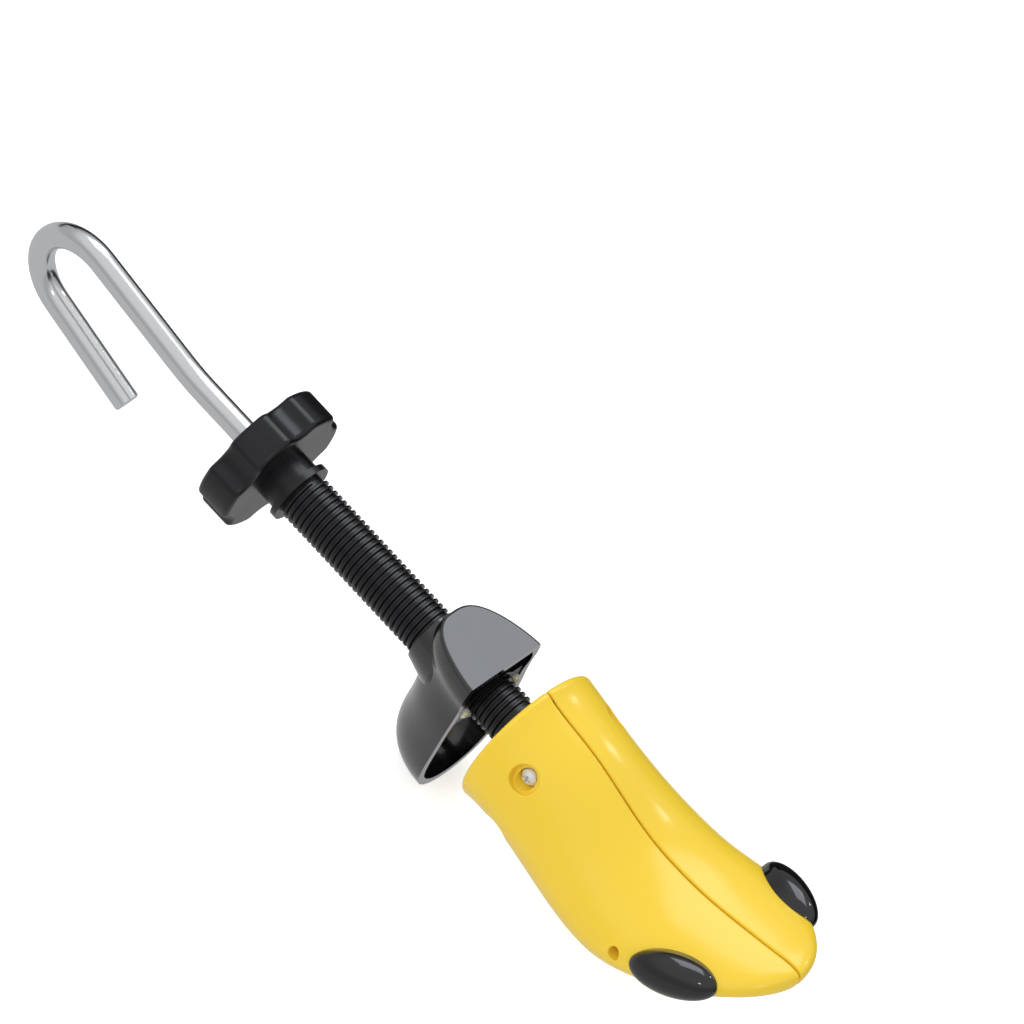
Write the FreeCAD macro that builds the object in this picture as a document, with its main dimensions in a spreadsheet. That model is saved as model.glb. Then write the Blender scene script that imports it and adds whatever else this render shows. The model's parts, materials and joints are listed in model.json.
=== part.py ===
"""Two-way shoe stretcher: a split toe form, a heel cup on a threaded tube, and a rod that spreads the toe.

Every piece is modelled on the screw axis, with X pointing to the toe, Z up and X = 0 at the toe's rear face.
The finished pieces are then moved together, so that the origin lies under the middle of the whole object.
"""
import FreeCAD, Part
import math
import os
import re
import Sketcher

# Driving sizes, in millimetres and degrees
SIZES = {
    # toe halves
    "toe_length": 142.0,
    "toe_neck_length": 41.0,
    "toe_half_width": 36.4,
    "toe_rear_radius": 31.0,
    "toe_wall": 3.2,
    "toe_rear_wall": 4.0,
    "toe_rear_round": 2.0,
    "seam_gap": 0.7,
    "seam_round": 0.8,
    "mouth_round": 0.5,
    "tube_hole_gap": 1.0,
    # guide screws, their bosses and springs
    "guide_setback": 19.0,
    "guide_spread": 13.4,
    "counterbore_radius": 5.7,
    "counterbore_floor": 22.2,
    "counterbore_lean": 35.0,
    "spring_pocket_radius": 3.9,
    "spring_pocket_floor": 8.4,
    "boss_wall": 1.6,
    "guide_head_radius": 3.5,
    "guide_head_height": 2.8,
    "guide_head_seat": 19.4,
    "guide_shank_radius": 2.0,
    "guide_thread_radius": 1.6,
    "guide_thread_length": 6.0,
    "guide_hole_gap": 0.4,
    "recess_width": 1.1,
    "recess_depth": 1.5,
    "spring_wire": 0.7,
    "spring_radius": 2.9,
    "spring_turns": 4,
    # core block between the halves
    "core_half_width": 6.5,
    "core_half_height": 20.5,
    "core_length": 18.0,
    "barrel_radius": 10.5,
    "slide_gap": 0.5,
    # spreader wedge and the ramps in the toe halves
    "spread_travel": 7.0,
    "wedge_travel": 24.0,
    "wedge_length": 26.0,
    "wedge_front_half": 6.5,
    "wedge_half_height": 8.0,
    "wedge_clearance": 1.0,
    "wedge_nut_half": 6.0,
    "wedge_nut_length": 8.0,
    "ramp_gap": 0.1,
    "ramp_nose": 4.6,
    "ramp_lead": 6.0,
    # plugs and their sockets
    "plug_lift": 8.5,
    "plug_half_length": 17.6,
    "plug_half_width": 8.2,
    "plug_skirt": 0.8,
    "plug_dome": 7.4,
    "plug_root": 6.0,
    "plug_tilt": 32.5,
    "plug_yaw": 7.0,
    "plug_rise": 23.5,
    "peg_radius": 2.5,
    "peg_length": 7.0,
    "socket_depth": 8.5,
    "socket_wall": 2.2,
    "spare_socket_drop": 2.6,
    "seat_gap": 0.3,
    # threaded tube
    "tube_reach": 121.3,
    "tube_radius": 10.2,
    "tube_bore_radius": 5.4,
    "tube_collar_length": 5.0,
    "thread_pitch": 2.5,
    "thread_depth": 0.95,
    "journal_radius": 8.0,
    "neck_flat": 6.6,
    "running_gap": 0.05,
    "end_play": 0.1,
    "washer_thickness": 1.0,
    "washer_radius": 11.0,
    "ring_thickness": 1.2,
    "ring_radius": 10.0,
    "ring_depth": 0.75,
    "ring_mouth": 7.0,
    "ring_land": 1.8,
    # hand wheel
    "wheel_radius": 28.25,
    "wheel_thickness": 15.6,
    "wheel_lobes": 6,
    "scallop_radius": 9.0,
    "scallop_depth": 3.0,
    "lobe_round": 4.0,
    "wheel_round": 2.2,
    "hub_radius": 10.9,
    "hub_length": 7.9,
    "flange_radius": 13.0,
    "flange_thickness": 2.6,
    "wheel_recess_radius": 12.0,
    "wheel_recess_depth": 4.0,
    # hook rod
    "rod_radius": 5.0,
    "rod_thread_radius": 4.0,
    "rod_guide_gap": 0.1,
    "shank_length": 32.9,
    "shank_rise": 54.0,
    "kink_angle": 9.0,
    "kink_radius": 80.0,
    "hook_bend_radius": 20.0,
    "hook_turn_angle": 174.0,
    "hook_leg_length": 45.5,
    "hook_tip_chamfer": 0.8,
    "rod_collar_radius": 8.0,
    "rod_collar_length": 6.0,
    "pin_radius": 1.25,
    "end_nut_radius": 7.0,
    "end_nut_length": 4.0,
    # heel cup
    "heel_gap": 18.2,
    "heel_top": 20.5,
    "heel_face_length": 28.8,
    "heel_face_half_width": 18.5,
    "heel_length": 26.8,
    "heel_half_width": 21.0,
    "heel_drop": 35.0,
    "heel_bowl_depth": 21.0,
    "heel_wall": 3.0,
    "heel_top_wall": 3.5,
    "heel_top_round": 1.8,
    "heel_front_lean": 1.0,
    "heel_collar_reach": 31.6,
    "heel_collar_wall": 1.2,
    "heel_collar_flare": 3.6,
    "heel_collar_root": 18.8,
    "heel_web_setback": 3.8,
    "heel_web_thickness": 4.5,
    "heel_web_half_height": 12.0,
    # nut in the heel cup
    "nut_wall": 1.3,
    "nut_sleeve_length": 14.0,
    "nut_flange_thickness": 3.0,
    "nut_flange_half_length": 15.5,
    "nut_flange_half_height": 7.0,
    "nut_thread_gap": 0.32,
    "nut_thread_turns": 4,
    "nut_screw_spread": 13.2,
    "nut_screw_head_radius": 2.2,
    "nut_screw_head_height": 1.8,
    "nut_screw_radius": 1.2,
    "nut_screw_length": 7.0,
    # cuts run this far past what they cut
    "overrun": 2.0,
}

# Toe sections from rear to tip, as shares: place along the neck or past it, half width, top and bottom
TOE_NECK_SHARES = [
    (0.0, 1.0, 1.0, -1.0),
    (0.537, 0.984, 0.823, -0.984),
    (1.0, 1.016, 0.677, -1.11),
]
TOE_FRONT_SHARES = [
    (0.199, 0.942, 0.481, -1.087),
    (0.456, 1.0, 0.445, -0.79),
    (0.574, 0.986, 0.5, -0.5),
    (0.703, 0.9, 0.597, -0.21),
    (0.841, 0.703, 0.713, 0.12),
    (0.921, 0.508, 0.784, 0.31),
    (0.97, 0.316, 0.8, 0.44),
    (0.993, 0.16, 0.775, 0.53),
    (1.0, 0.07, 0.73, 0.6),
]
# Shares of the toe past its neck: the plug seat along it and across it, and the spare socket along it
PLUG_ALONG_SHARE = 0.682
PLUG_SEAT_SHARE = 0.822
SPARE_ALONG_SHARE = 0.4594
# Heel sections from the top face to the bowl: share of the drop, then share of the change in plan size
HEEL_SIDE_SHARES = [(0.0, 0.0), (0.22, 0.28), (0.5, 0.68), (0.76, 0.94), (1.0, 1.0)]
# Bowl sections, as angles of a quarter turn
HEEL_BOWL_ANGLES = [24.0, 46.0, 64.0, 78.0, 87.0]
# Powers of the heel's plan curve, along and across, at its top face and at its bowl, where it is an ellipse
HEEL_FACE_POWERS = (1.35, 2.9)
HEEL_BOWL_POWERS = (2.0, 2.0)
# Points along a plan curve: those it is measured with and those it runs through
PLAN_SAMPLES = 400
PLAN_POINTS = 25
# Thread ridge widths at crest and root as shares of the pitch, and the share of its depth sunk in the root
CREST_SHARE = 0.3
ROOT_SHARE = 0.74
SUNK_SHARE = 0.2
# A screw head's straight side, flat top and recess, as shares of its height and radius
HEAD_SIDE_SHARE = 0.55
HEAD_TOP_SHARE = 0.62
RECESS_SHARE = 1.1

# Places worked out from the sizes
PLACES = {
    "shoulder_x": "toe_rear_wall + end_play",
    "washer_x": "shoulder_x + end_play",
    "core_x": "washer_x + washer_thickness",
    "core_end_x": "core_x + core_length",
    "ring_x": "core_end_x + end_play",
    "tube_front_x": "ring_x + ring_thickness + ring_land",
    "rod_washer_x": "tube_front_x + end_play",
    "collar_x": "rod_washer_x + washer_thickness",
    "rod_thread_x": "collar_x + rod_collar_length",
    "wedge_x": "rod_thread_x + wedge_clearance",
    "wedge_end_x": "wedge_x + wedge_length",
    "wedge_rear_half": "wedge_front_half + wedge_length * spread_travel / wedge_travel",
    "wedge_nut_x": "wedge_x + (wedge_length - wedge_nut_length) / 2",
    "end_nut_x": "wedge_end_x + wedge_travel + wedge_clearance",
    "rod_end_x": "end_nut_x + end_nut_length + end_play",
    "ramp_x": "wedge_x + ramp_lead",
    "ramp_end_x": "wedge_end_x + (wedge_front_half + ramp_gap - ramp_nose) * wedge_travel / spread_travel",
    "ramp_start_half": "wedge_rear_half + ramp_gap - ramp_lead * spread_travel / wedge_travel",
    "boss_start": "core_half_width + slide_gap",
    "thread_start_x": "-tube_reach",
    "thread_end_x": "-tube_collar_length",
    "hub_x": "-tube_reach - flange_thickness",
    "wheel_front_x": "hub_x - hub_length",
    "wheel_rear_x": "wheel_front_x - wheel_thickness",
    "neck_end_x": "wheel_rear_x + ring_land",
    "wheel_ring_x": "wheel_rear_x + wheel_recess_depth - ring_thickness - end_play",
    "heel_front_x": "-heel_gap",
    "heel_bottom_z": "-heel_drop - heel_bowl_depth",
    "socket_radius": "peg_radius + running_gap",
    "socket_floor": "toe_half_width - socket_depth",
    "plug_x": f"toe_neck_length + (toe_length - toe_neck_length) * {PLUG_ALONG_SHARE}",
    "spare_socket_x": f"toe_neck_length + (toe_length - toe_neck_length) * {SPARE_ALONG_SHARE}",
    "nut_bore_radius": "tube_radius + nut_thread_gap",
    "nut_sleeve_radius": "nut_bore_radius + nut_wall",
    "nut_x": "heel_front_x - heel_web_setback",
    "nut_screw_x": "nut_x + nut_flange_thickness",
    "nut_rear_x": "nut_x - nut_sleeve_length",
    "hook_apex_x": "wheel_rear_x - shank_length - shank_rise * cos(kink_angle)"
                   " - hook_bend_radius * (1 + sin(kink_angle)) - rod_radius",
    "origin_x": "(hook_apex_x + toe_length) / 2",
}

# The guide screws' heights, as signs of their spread
GUIDE_LEVELS = {"Upper": 1, "Lower": -1}

# Two places nearer than this count as the same
NEAR = 1e-4
UP = FreeCAD.Vector(0, 0, 1)

doc = FreeCAD.newDocument("ShoeStretcher")
nodes = []


def add_sheet(name, rows):
    """Make a spreadsheet with one aliased cell for each row."""
    sheet = doc.addObject("Spreadsheet::Sheet", name)
    for row, (alias, content) in enumerate(rows.items(), start=1):
        sheet.set(f"A{row}", alias)
        sheet.set(f"B{row}", content)
        sheet.setAlias(f"B{row}", alias)
    return sheet


def in_cells(formula):
    """Write a formula's names as the cells that hold them."""
    def cell(word):
        if word[0] in SIZES:
            return f"Sizes.{word[0]}"
        return f"Places.{word[0]}" if word[0] in PLACES else word[0]
    return re.sub(r"[a-z_]+", cell, formula)


sizes = add_sheet("Sizes", {alias: str(number) for alias, number in SIZES.items()})
doc.recompute()
places = add_sheet("Places", {alias: "=" + in_cells(formula) for alias, formula in PLACES.items()})
doc.recompute()


def bind(obj, prop, formula):
    """Tie a property to a formula in the named sizes and places."""
    obj.setExpression(prop, in_cells(formula))


def place(obj, spot, turn=None):
    """Put an object at a place given by three formulas, with an optional turn."""
    if turn:
        obj.Placement = FreeCAD.Placement(FreeCAD.Vector(), turn)
    for letter, formula in zip("xyz", spot):
        bind(obj, f"Placement.Base.{letter}", formula)
    return obj


def node(obj, label):
    """Name a finished piece and move it to the common origin."""
    place(obj, ("-origin_x", "0", "-heel_bottom_z"))
    obj.Label = label
    nodes.append(obj)


def mirrored(name, source, label):
    """The left-hand twin of a finished right-hand piece."""
    obj = doc.addObject("Part::Mirroring", name)
    obj.Source = source
    obj.Normal = FreeCAD.Vector(0, 1, 0)
    obj.Label = label
    nodes.append(obj)


ALONG_X = FreeCAD.Rotation(FreeCAD.Vector(0, 1, 0), 90)
ACROSS = {side: FreeCAD.Rotation(FreeCAD.Vector(1, 0, 0), side * -90) for side in (-1, 1)}
SECTION_TURN = FreeCAD.Rotation(FreeCAD.Vector(1, 1, 1), 120)


def cylinder(name, radius, height, spot, turn):
    """A cylinder that starts at a place and runs along its turned axis."""
    obj = doc.addObject("Part::Cylinder", name)
    bind(obj, "Radius", radius)
    bind(obj, "Height", height)
    return place(obj, spot, turn)


def box(name, lengths, spot):
    """A box from its lowest corner."""
    obj = doc.addObject("Part::Box", name)
    for side, formula in zip(("Length", "Width", "Height"), lengths):
        bind(obj, side, formula)
    return place(obj, spot)


def join(name, shapes):
    """Fuse several shapes."""
    obj = doc.addObject("Part::MultiFuse", name)
    obj.Shapes = shapes
    return obj


def cut(name, base, tool):
    """Take one shape out of another."""
    obj = doc.addObject("Part::Cut", name)
    obj.Base = base
    obj.Tool = tool
    return obj


def common(name, shapes):
    """Keep what all the shapes share."""
    obj = doc.addObject("Part::MultiCommon", name)
    obj.Shapes = shapes
    return obj


def group(name, shapes):
    """Keep several solids together in one piece."""
    obj = doc.addObject("Part::Compound", name)
    obj.Links = shapes
    return obj


def outline(body, name, role, corners):
    """A closed sketch of straight lines whose corners are formulas."""
    sketch = body.newObject("Sketcher::SketchObject", name)
    plane = next(feature for feature in body.Origin.OriginFeatures if feature.Role == role)
    sketch.AttachmentSupport = (plane, [""])
    sketch.MapMode = "FlatFace"
    count = len(corners)
    turns = [2 * math.pi * corner / count for corner in range(count)]
    spots = [FreeCAD.Vector(math.cos(turn), math.sin(turn), 0) for turn in turns]
    for corner in range(count):
        sketch.addGeometry(Part.LineSegment(spots[corner], spots[(corner + 1) % count]))
    for corner in range(count):
        sketch.addConstraint(Sketcher.Constraint("Coincident", corner, 2, (corner + 1) % count, 1))
    for corner, formulas in enumerate(corners):
        for kind, formula, guess in zip(("DistanceX", "DistanceY"), formulas, spots[corner]):
            index = sketch.addConstraint(Sketcher.Constraint(kind, -1, 1, corner, 1, guess))
            bind(sketch, f"Constraints[{index}]", formula)
    return sketch


def spin(body, name, corners, kind="PartDesign::Revolution"):
    """Turn an outline of X and radius about the X axis, as material or as a groove."""
    sketch = outline(body, name + "Profile", "XZ_Plane", corners)
    turn = body.newObject(kind, name)
    turn.Profile = sketch
    turn.ReferenceAxis = (sketch, ["H_Axis"])
    turn.Angle = 360


def turned(name, corners):
    """A body turned about the X axis from an outline of X and radius."""
    body = doc.addObject("PartDesign::Body", name)
    spin(body, name + "Turn", corners)
    return body


def ring(name, start, end, inner, outer):
    """A plain turned ring."""
    return turned(name, [(start, inner), (end, inner), (end, outer), (start, outer)])


def prism(name, role, corners, height, spot=("0", "0", "0")):
    """An outline padded to a height."""
    body = doc.addObject("PartDesign::Body", name)
    sketch = outline(body, name + "Profile", role, corners)
    pad = body.newObject("PartDesign::Pad", name + "Pad")
    pad.Profile = sketch
    bind(pad, "Length", height)
    return place(body, spot)


def helical_ridge(body, name, corners, height):
    """A thread ridge wound right-handed about the X axis of a turned body."""
    sketch = outline(body, name + "Profile", "XZ_Plane", corners)
    ridge = body.newObject("PartDesign::AdditiveHelix", name)
    ridge.Profile = sketch
    ridge.ReferenceAxis = (sketch, ["H_Axis"])
    ridge.Mode = 0
    bind(ridge, "Pitch", "thread_pitch")
    bind(ridge, "Height", height)


def screw(name, size, thread, spot, turn):
    """A pan-head screw with a cross recess, its axis along X and its head's underside at the place."""
    head, tall, shank, length = (f"{size}_head_radius", f"{size}_head_height", thread[0], thread[1])
    steps = [("0", shank), (f"-({length})", shank)]
    if len(thread) > 2:
        steps += [(f"-({length})", thread[2]), (f"-({length}) - {thread[3]}", thread[2])]
    end = steps[-1][0]
    body = turned(name + "Turned", [(end, "0")] + steps[::-1] + [
        ("0", head), (f"{tall} * {HEAD_SIDE_SHARE}", head), (tall, f"{head} * {HEAD_TOP_SHARE}"),
        (tall, "0")])
    slots = []
    span = f"{head} * {RECESS_SHARE}"
    for across, up in (("recess_width", span), (span, "recess_width")):
        slots.append(box(f"{name}Slot{len(slots)}", ("recess_depth + overrun", across, up),
                         (f"{tall} - recess_depth", f"-({across}) / 2", f"-({up}) / 2")))
    return place(cut(name, body, join(name + "Cross", slots)), spot, turn)


def ellipse(name, major, minor, spot, turn=None):
    """An ellipse section for a loft."""
    obj = doc.addObject("Part::Ellipse", name)
    bind(obj, "MajorRadius", major)
    bind(obj, "MinorRadius", minor)
    return place(obj, spot, turn)


def loft(name, sections):
    """A smooth solid through closed sections."""
    obj = doc.addObject("Part::Loft", name)
    obj.Sections = sections
    obj.Solid = True
    return obj


def edges_where(obj, wanted):
    """The names of an object's edges that pass a test."""
    doc.recompute()
    return [f"Edge{number}" for number, edge in enumerate(obj.Shape.Edges, start=1) if wanted(edge)]


def rounded(name, base, wanted, radius):
    """Fillet the edges of a shape that pass a test."""
    picked = edges_where(base, wanted)
    obj = doc.addObject("Part::Fillet", name)
    obj.Base = base
    obj.Edges = [(int(edge[4:]), getattr(sizes, radius), getattr(sizes, radius)) for edge in picked]
    return obj


def toe_sections(name, inset):
    """The toe's ellipses, drawn in by a wall where one is given."""
    rows = [(f"toe_neck_length * {row[0]}", "toe_rear_radius", row[1:]) for row in TOE_NECK_SHARES]
    rows += [(f"toe_neck_length + (toe_length - toe_neck_length) * {row[0]}", "toe_half_width", row[1:])
             for row in TOE_FRONT_SHARES]
    if inset:
        rows = rows[:-3]
    sections = []
    for along, wide, (half, top, bottom) in rows:
        start = inset and not sections
        sections.append(ellipse(
            f"{name}{len(sections)}", f"{wide} * {half} - {inset or 0}",
            f"toe_rear_radius * {(top - bottom) / 2} - {inset or 0}",
            ("toe_rear_wall" if start else along, "0", f"toe_rear_radius * {(top + bottom) / 2}"),
            SECTION_TURN))
    return sections


def at_rear(edge):
    """Whether an edge lies round the toe's rear face."""
    return abs(edge.CenterOfMass.x) < NEAR and edge.BoundBox.XLength < NEAR


outer_sections = toe_sections("ToeSection", None)
toe_form = rounded("ToeForm", loft("ToeLoft", outer_sections), at_rear, "toe_rear_round")
toe_hollow = loft("ToeHollow", toe_sections("HollowSection", "toe_wall"))


# The right plug's own Z axis points out of the toe, and its length rises along the toe's side
PLUG_TURN = FreeCAD.Rotation(FreeCAD.Vector(0, 0, 1), sizes.plug_yaw).multiply(
    FreeCAD.Rotation(FreeCAD.Vector(1, 0, 0), 90 - sizes.plug_tilt)).multiply(
    FreeCAD.Rotation(FreeCAD.Vector(0, 0, 1), sizes.plug_rise))
PLUG_WAY = PLUG_TURN.multVec(FreeCAD.Vector(0, 0, 1))


def plug_spot(depth):
    """A place on the right plug's axis, a depth below the plug's seat."""
    return (f"plug_x - ({depth}) * {PLUG_WAY.x}",
            f"-toe_half_width * {PLUG_SEAT_SHARE} - ({depth}) * {PLUG_WAY.y}",
            f"plug_lift - ({depth}) * {PLUG_WAY.z}")


def toe_halves():
    """The right toe half, a shell with spring bosses, a ramp and two plug sockets, and its mirror image."""
    def on_seam(edge):
        return max(abs(end + sizes.seam_gap / 2) for end in (edge.BoundBox.YMin, edge.BoundBox.YMax)) < NEAR

    def above_floor(spot, wall):
        way = wall.Placement.Rotation.multVec(UP)
        arm = spot - wall.Placement.Base
        return abs(arm.cross(way).Length - wall.Radius.Value) < NEAR * 10 and arm.dot(way) > NEAR

    def at_mouth(edge):
        spots = edge.discretize(9)
        bent = edge.Curve.TypeId != "Part::GeomLine"
        return bent and any(all(above_floor(spot, wall) for spot in spots) for wall in walls)

    reach = "toe_half_width * 2"
    side_box = box("ToeSideBox", ("toe_length + overrun * 2", reach, f"{reach} * 2"),
                   ("-overrun", f"-seam_gap / 2 - {reach}", f"-{reach}"))
    form = rounded("ToeSolid", common("ToeSide", [toe_form, side_box]), on_seam, "seam_round")
    shell = cut("ToeShell", form, toe_hollow)

    def across(name, radius, start, x_spot, z_spot, end=reach):
        spot = (x_spot, f"-({start})", z_spot)
        return cylinder("Toe" + name, radius, f"{end} - ({start})", spot, ACROSS[-1])

    solids = []
    holes = []
    walls = []
    for level, sign in GUIDE_LEVELS.items():
        spot = ("guide_setback", f"{sign} * guide_spread")
        lean = math.radians(sizes.counterbore_lean)
        way = FreeCAD.Vector(0, -math.cos(lean), sign * math.sin(lean))
        turn = FreeCAD.Rotation(UP, way)
        solids.append(across(level + "Boss", "spring_pocket_radius + boss_wall", "boss_start", *spot))
        for kind, wall, found in (("Pad", "boss_wall", solids), ("Counterbore", "0", walls)):
            floor = ("guide_setback", f"-counterbore_floor - {wall} * {way.y}",
                     f"{sign} * guide_spread - {wall} * {way.z}")
            found.append(cylinder(f"Toe{level}{kind}", f"counterbore_radius + {wall}", reach, floor, turn))
        mouth = f"counterbore_floor + spring_pocket_radius * {math.tan(lean)} + slide_gap"
        holes.append(across(level + "Pocket", "spring_pocket_radius", "spring_pocket_floor", *spot, mouth))
        holes.append(across(level + "Hole", "guide_shank_radius + guide_hole_gap", "0", *spot, mouth))
    spare = ("spare_socket_x", "-spare_socket_drop")
    boss = "socket_radius + socket_wall"
    solids.append(across("SpareBoss", boss, "socket_floor - socket_wall", *spare))
    walls.append(across("SpareSocket", "socket_radius", "socket_floor", *spare))
    solids.append(cylinder("ToeSocketBoss", boss, "socket_depth + socket_wall + plug_dome",
                           plug_spot("socket_depth + socket_wall"), PLUG_TURN))
    holes.append(cylinder("ToeSocket", "socket_radius", "socket_depth + plug_dome",
                          plug_spot("socket_depth"), PLUG_TURN))
    solids.append(prism("ToeRamp", "XY_Plane", [
        ("ramp_x", "-ramp_start_half"), ("ramp_end_x", "-ramp_nose"), ("ramp_end_x", f"-{reach}"),
        ("ramp_x", f"-{reach}")], "wedge_half_height * 2", ("0", "0", "-wedge_half_height")))
    holes.append(cylinder("ToeTubeHole", "tube_radius + tube_hole_gap", "toe_rear_wall + overrun * 2",
                          ("-overrun", "0", "0"), ALONG_X))
    inside = common("ToeFittings", [join("ToeInside", solids), form])
    whole = cut("ToeCut", join("ToeWhole", [shell, inside]), join("ToeHoles", holes + walls))
    half = rounded("ToeRight", whole, at_mouth, "mouth_round")
    node(half, "toe_half_right")
    mirrored("ToeLeft", half, "toe_half_left")


def bunion_plugs():
    """An oval dome on a skirt whose base follows the toe, on a peg, and its mirror image."""
    dome = doc.addObject("Part::Ellipsoid", "PlugDome")
    radii = ("plug_dome", "plug_half_length", "plug_half_width")
    for number, formula in enumerate(radii, start=1):
        bind(dome, f"Radius{number}", formula)
    dome.Angle1 = 0
    place(dome, plug_spot("-plug_skirt"), PLUG_TURN)
    rims = [ellipse(f"PlugRim{number}", "plug_half_length", "plug_half_width", plug_spot(depth), PLUG_TURN)
            for number, depth in enumerate(("plug_root", "-plug_skirt"))]
    raised = place(loft("PlugSeat", outer_sections), tuple(f"seat_gap * {part}" for part in PLUG_WAY))
    cap = cut("PlugCap", join("PlugOval", [dome, loft("PlugSkirt", rims)]), raised)
    peg = cylinder("PlugPeg", "peg_radius", "peg_length + plug_dome / 2",
                   plug_spot("peg_length"), PLUG_TURN)
    plug = join("PlugRight", [cap, peg])
    node(plug, "bunion_plug_right")
    mirrored("PlugLeft", plug, "bunion_plug_left")


def guide_screws():
    """Four screws across the core block, whose heads hold the return springs."""
    screws = []
    for side, hand in ((-1, "Right"), (1, "Left")):
        for level, sign in GUIDE_LEVELS.items():
            screws.append(screw(f"Guide{hand}{level}", "guide",
                                ("guide_shank_radius", "guide_head_seat - core_half_width",
                                 "guide_thread_radius", "guide_thread_length"),
                                ("guide_setback", f"{side} * guide_head_seat", f"{sign} * guide_spread"),
                                FreeCAD.Rotation(FreeCAD.Vector(0, 0, 1), side * 90)))
    node(group("GuideScrews", screws), "guide_screws")


def biarc(start, start_way, end, end_way):
    """Two arcs that join two points along their directions."""
    across = end - start
    both = start_way + end_way
    bend = 2 * (1 - start_way.dot(end_way))
    reach = (math.sqrt(across.dot(both) ** 2 + bend * across.dot(across)) - across.dot(both)) / bend
    middle = (start + start_way * reach + end - end_way * reach) * 0.5
    arcs = []
    legs = ((start, start + start_way * reach, middle), (middle, end - end_way * reach, end))
    for first, corner, last in legs:
        chord = (first + last) * 0.5
        half = (last - first).Length / 2
        rise = (corner - chord).Length
        bulge = half * (math.hypot(half, rise) - half) / rise
        arcs.append(Part.Arc(first, chord + (corner - chord).normalize() * bulge, last).toShape())
    return arcs


def coil(side, height):
    """One return spring, from its pocket's floor to its screw's head."""
    wire = sizes.spring_wire
    start = sizes.spring_pocket_floor + wire / 2 + sizes.end_play
    rise = sizes.guide_head_seat - wire - sizes.end_play * 2 - sizes.spring_pocket_floor
    turns = int(sizes.spring_turns)

    def point(turn):
        angle = 2 * math.pi * turn
        return FreeCAD.Vector(sizes.guide_setback + sizes.spring_radius * math.cos(angle),
                              side * (start + rise * turn / turns),
                              height + sizes.spring_radius * math.sin(angle))

    def way(turn):
        angle = 2 * math.pi * turn
        around = 2 * math.pi * sizes.spring_radius
        onward = FreeCAD.Vector(-around * math.sin(angle), side * rise / turns, around * math.cos(angle))
        return onward.normalize()

    stops = [quarter / 4 for quarter in range(turns * 4 + 1)]
    edges = []
    for first, last in zip(stops, stops[1:]):
        edges += biarc(point(first), way(first), point(last), way(last))
    path = Part.Wire(edges)
    section = Part.Wire([Part.Circle(point(0), way(0), wire / 2).toShape()])
    samples = [point(step / 48) for step in range(turns * 48 + 1)]
    apart = [(first - last).Length for index, first in enumerate(samples) for last in samples[index + 24:]]
    gap = min(apart) - wire
    print(f"least gap of a return spring to itself: {gap:.2f} mm")
    return path.makePipeShell([section], True, False)


def return_springs(side, hand):
    """The two coils of one toe half."""
    springs = doc.addObject("Part::Feature", "Springs" + hand)
    heights = [sign * sizes.guide_spread for sign in GUIDE_LEVELS.values()]
    springs.Shape = Part.makeCompound([coil(side, height) for height in heights])
    node(springs, "return_springs_" + hand.lower())


def core_block():
    """The block between the toe halves, bored for the tube's journal and the guide screws."""
    plate = box("CorePlate", ("core_length", "core_half_width * 2", "core_half_height * 2"),
                ("core_x", "-core_half_width", "-core_half_height"))
    barrel = cylinder("CoreBarrel", "barrel_radius", "core_length", ("core_x", "0", "0"), ALONG_X)
    holes = [cylinder("CoreBore", "journal_radius + running_gap", "core_length + overrun * 2",
                      ("core_x - overrun", "0", "0"), ALONG_X)]
    for side in (-1, 1):
        for sign in GUIDE_LEVELS.values():
            spot = ("guide_setback", f"{side} * (core_half_width - guide_thread_length)",
                    f"{sign} * guide_spread")
            holes.append(cylinder(f"CoreScrewHole{len(holes)}", "guide_thread_radius",
                                  "guide_thread_length + overrun", spot, ACROSS[side]))
    node(cut("CoreBlock", join("CoreSolid", [plate, barrel]), join("CoreHoles", holes)), "core_block")


def retaining_ring(name, label, start):
    """A snap ring with an open mouth, seated in a groove of the tube."""
    whole = ring(name + "Whole", start, f"{start} + ring_thickness", "journal_radius - ring_depth",
                 "ring_radius")
    mouth = box(name + "Mouth", ("ring_thickness + overrun * 2", "ring_mouth", "ring_radius + overrun"),
                (f"{start} - overrun", "-ring_mouth / 2", "-ring_radius - overrun"))
    node(cut(name, whole, mouth), label)


def threaded_tube():
    """The tube: a neck for the wheel, the thread, a plain collar and the front journal."""
    root = "tube_radius - thread_depth"
    groove = "journal_radius - ring_depth"
    body = turned("Tube", [
        ("neck_end_x", "tube_bore_radius"), ("tube_front_x", "tube_bore_radius"),
        ("tube_front_x", "journal_radius"), ("ring_x + ring_thickness", "journal_radius"),
        ("ring_x + ring_thickness", groove), ("ring_x", groove), ("ring_x", "journal_radius"),
        ("shoulder_x", "journal_radius"), ("shoulder_x", "tube_radius"), ("thread_end_x", "tube_radius"),
        ("thread_end_x", root), ("thread_start_x", root), ("thread_start_x", "journal_radius"),
        ("wheel_ring_x + ring_thickness", "journal_radius"), ("wheel_ring_x + ring_thickness", groove),
        ("wheel_ring_x", groove), ("wheel_ring_x", "journal_radius"), ("neck_end_x", "journal_radius")])
    middle = "thread_start_x + thread_pitch / 2"
    sunk = f"{root} - thread_depth * {SUNK_SHARE}"
    helical_ridge(body, "TubeThread", [
        (f"{middle} - thread_pitch * {ROOT_SHARE / 2}", sunk),
        (f"{middle} + thread_pitch * {ROOT_SHARE / 2}", sunk),
        (f"{middle} + thread_pitch * {CREST_SHARE / 2}", "tube_radius"),
        (f"{middle} - thread_pitch * {CREST_SHARE / 2}", "tube_radius")],
        "tube_reach - tube_collar_length - thread_pitch")
    flat = box("NeckFlat", ("thread_start_x - neck_end_x + overrun", "journal_radius * 2", "journal_radius"),
               ("neck_end_x - overrun", "-journal_radius", "neck_flat"))
    node(cut("ThreadedTube", body, flat), "threaded_tube")


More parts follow.
